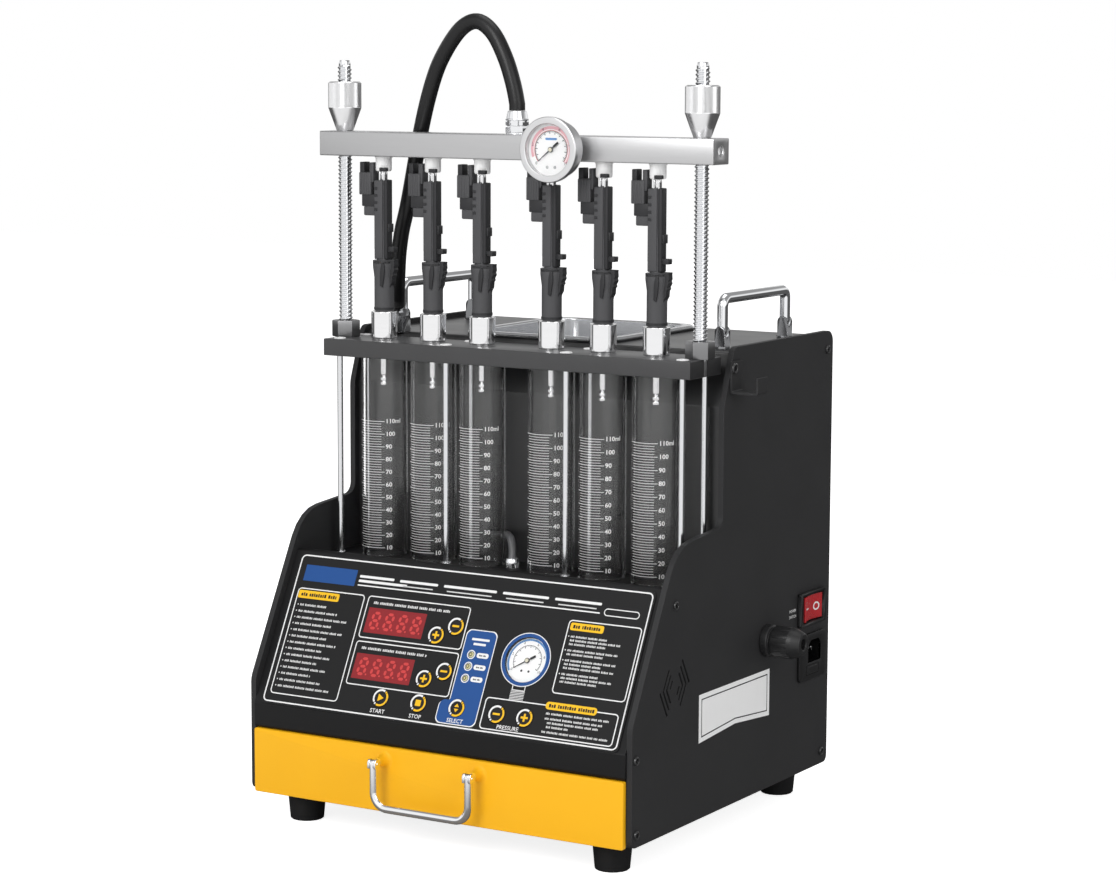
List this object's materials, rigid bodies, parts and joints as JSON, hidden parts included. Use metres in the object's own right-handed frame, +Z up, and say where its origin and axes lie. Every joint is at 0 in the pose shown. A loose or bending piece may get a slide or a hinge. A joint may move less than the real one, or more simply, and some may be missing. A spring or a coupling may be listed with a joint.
{
  "type": "fuel injector cleaner and tester",
  "caption": "Bench machine that cleans and tests fuel injectors: glass measuring tubes under a screw-clamped fuel rail with a gauge, ultrasonic bath, control panel, storage drawer.",
  "frame": {"origin": "on the floor, under the middle of the whole object's box", "axes": "+Z up; +Y from the drawer and control panel to the back; +X to the right as seen from the front"},
  "size_m": [0.414, 0.375, 0.6828],
  "materials": {
    "black_coat": "black powder coat",
    "plate_coat": "dark grey powder coat",
    "zinc": "zinc-plated sheet",
    "rubber": "moulded black rubber",
    "yellow": "glossy yellow",
    "chrome": "bright plating",
    "overlay": "printed film",
    "key": "printed key cap",
    "dial": "white dial",
    "pointer": "black paint",
    "glass": "clear",
    "aluminium": "satin",
    "steel": "stainless",
    "dark_plastic": "dark grey moulding",
    "red": "glossy red",
    "board": "green solder mask",
    "tank": "natural plastic",
    "hose": "smooth black hose"
  },
  "bodies": {
    "machine": {"bottom_pan": "zinc", "inner_deck": "zinc", "side_plate_left": "plate_coat", "side_plate_right": "plate_coat", "front_panel": "black_coat", "upper_cover": "black_coat", "back_panel": "black_coat", "foot_front_left": "rubber", "foot_front_right": "rubber", "foot_back_left": "rubber", "foot_back_right": "rubber", "panel_overlay": "overlay", "panel_gauge_case": "dial", "control_board": "board", "socket_plate": "black_coat", "threaded_rod_left": "chrome", "threaded_rod_right": "chrome", "hose": "hose", "switch_bezel": "dark_plastic", "power_inlet": "dark_plastic", "cable_gland": "rubber", "hook_bracket": "plate_coat", "bath_tank": "steel", "fluid_tank": "tank", "power_supply": "aluminium", "fluid_pump": "dark_plastic", "measuring_tube_1": "glass", "fuel_injector_1": "dark_plastic", "measuring_tube_2": "glass", "fuel_injector_2": "dark_plastic", "measuring_tube_3": "glass", "fuel_injector_3": "dark_plastic", "measuring_tube_4": "glass", "fuel_injector_4": "dark_plastic", "measuring_tube_5": "glass", "fuel_injector_5": "dark_plastic", "measuring_tube_6": "glass", "fuel_injector_6": "dark_plastic"},
    "drawer": {"drawer_box": "zinc", "drawer_front": "yellow"},
    "drawer_handle": {"drawer_handle": "chrome"},
    "rocker_switch": {"rocker_switch": "red"},
    "carry_handle_left": {"carry_handle_left": "chrome"},
    "carry_handle_right": {"carry_handle_right": "chrome"},
    "rail": {"rail": "aluminium", "rail_gauge_case": "steel", "rail_gauge_lens": "glass"},
    "knurled_nut_left": {"knurled_nut_left": "steel"},
    "knurled_nut_right": {"knurled_nut_right": "steel"},
    "rail_gauge_pointer": {"rail_gauge_pointer": "pointer"},
    "panel_gauge_pointer": {"panel_gauge_pointer": "pointer"},
    "key_plus_upper": {"key_plus_upper": "key"},
    "key_minus_upper": {"key_minus_upper": "key"},
    "key_plus_lower": {"key_plus_lower": "key"},
    "key_minus_lower": {"key_minus_lower": "key"},
    "key_start": {"key_start": "key"},
    "key_stop": {"key_stop": "key"},
    "key_select": {"key_select": "key"},
    "key_pressure_minus": {"key_pressure_minus": "key"},
    "key_pressure_plus": {"key_pressure_plus": "key"}
  },
  "joints": [
    {"name": "drawer_slide", "type": "slide", "parent": "machine", "child": "drawer", "axis": [0, -1, 0], "range_m": [0, 0.2]},
    {"name": "drawer_handle_swing", "type": "hinge", "parent": "drawer", "child": "drawer_handle", "pos_m": [-0.01505, -0.1827, 0.071], "axis": [-1, 0, 0], "range_deg": [0, 90]},
    {"name": "rocker_tilt", "type": "hinge", "parent": "machine", "child": "rocker_switch", "pos_m": [0.16685, 0.1498, 0.172], "axis": [0, 0, -1], "range_deg": [0, 16]},
    {"name": "carry_handle_left_fold", "type": "hinge", "parent": "machine", "child": "carry_handle_left", "pos_m": [-0.17505, 0.0878, 0.421], "axis": [0, 1, 0], "range_deg": [0, 90]},
    {"name": "carry_handle_right_fold", "type": "hinge", "parent": "machine", "child": "carry_handle_right", "pos_m": [0.14495, 0.0878, 0.421], "axis": [0, -1, 0], "range_deg": [0, 90]},
    {"name": "rail_lift", "type": "slide", "parent": "machine", "child": "rail", "axis": [0, 0, 1], "range_m": [0, 0.014], "deforming": ["hose"]},
    {"name": "knurled_nut_left_turn", "type": "hinge", "parent": "rail", "child": "knurled_nut_left", "pos_m": [-0.18985, -0.0361, 0.604], "axis": [0, 0, 1], "range_deg": [0, 1440.01]},
    {"name": "knurled_nut_right_turn", "type": "hinge", "parent": "rail", "child": "knurled_nut_right", "pos_m": [0.15975, -0.0361, 0.604], "axis": [0, 0, 1], "range_deg": [0, 1440.01]},
    {"name": "rail_gauge_needle", "type": "hinge", "parent": "rail", "child": "rail_gauge_pointer", "pos_m": [0.03865, -0.0706, 0.572], "axis": [0, 1, 0], "range_deg": [0, 270], "stiffness_Nm_per_rad": 0.0005},
    {"name": "panel_gauge_needle", "type": "hinge", "parent": "machine", "child": "panel_gauge_pointer", "pos_m": [0.05603, -0.12856, 0.15917], "axis": [0, 0.889, -0.4579], "range_deg": [0, 260], "stiffness_Nm_per_rad": 0.0005},
    {"name": "key_plus_upper_press", "type": "slide", "parent": "machine", "child": "key_plus_upper", "axis": [0, 0.889, -0.4579], "range_m": [0, 0.0006], "stiffness_N_per_m": 500, "springref_m": -0.002},
    {"name": "key_minus_upper_press", "type": "slide", "parent": "machine", "child": "key_minus_upper", "axis": [0, 0.889, -0.4579], "range_m": [0, 0.0006], "stiffness_N_per_m": 500, "springref_m": -0.002},
    {"name": "key_plus_lower_press", "type": "slide", "parent": "machine", "child": "key_plus_lower", "axis": [0, 0.889, -0.4579], "range_m": [0, 0.0006], "stiffness_N_per_m": 500, "springref_m": -0.002},
    {"name": "key_minus_lower_press", "type": "slide", "parent": "machine", "child": "key_minus_lower", "axis": [0, 0.889, -0.4579], "range_m": [0, 0.0006], "stiffness_N_per_m": 500, "springref_m": -0.002},
    {"name": "key_start_press", "type": "slide", "parent": "machine", "child": "key_start", "axis": [0, 0.889, -0.4579], "range_m": [0, 0.0006], "stiffness_N_per_m": 500, "springref_m": -0.002},
    {"name": "key_stop_press", "type": "slide", "parent": "machine", "child": "key_stop", "axis": [0, 0.889, -0.4579], "range_m": [0, 0.0006], "stiffness_N_per_m": 500, "springref_m": -0.002},
    {"name": "key_select_press", "type": "slide", "parent": "machine", "child": "key_select", "axis": [0, 0.889, -0.4579], "range_m": [0, 0.0006], "stiffness_N_per_m": 500, "springref_m": -0.002},
    {"name": "key_pressure_minus_press", "type": "slide", "parent": "machine", "child": "key_pressure_minus", "axis": [0, 0.889, -0.4579], "range_m": [0, 0.0006], "stiffness_N_per_m": 500, "springref_m": -0.002},
    {"name": "key_pressure_plus_press", "type": "slide", "parent": "machine", "child": "key_pressure_plus", "axis": [0, 0.889, -0.4579], "range_m": [0, 0.0006], "stiffness_N_per_m": 500, "springref_m": -0.002}
  ],
  "couplings": [
    {"joint": "knurled_nut_left_turn", "follows": "rail_lift", "rad_per_m": 1795.2},
    {"joint": "knurled_nut_right_turn", "follows": "rail_lift", "rad_per_m": 1795.2}
  ]
}
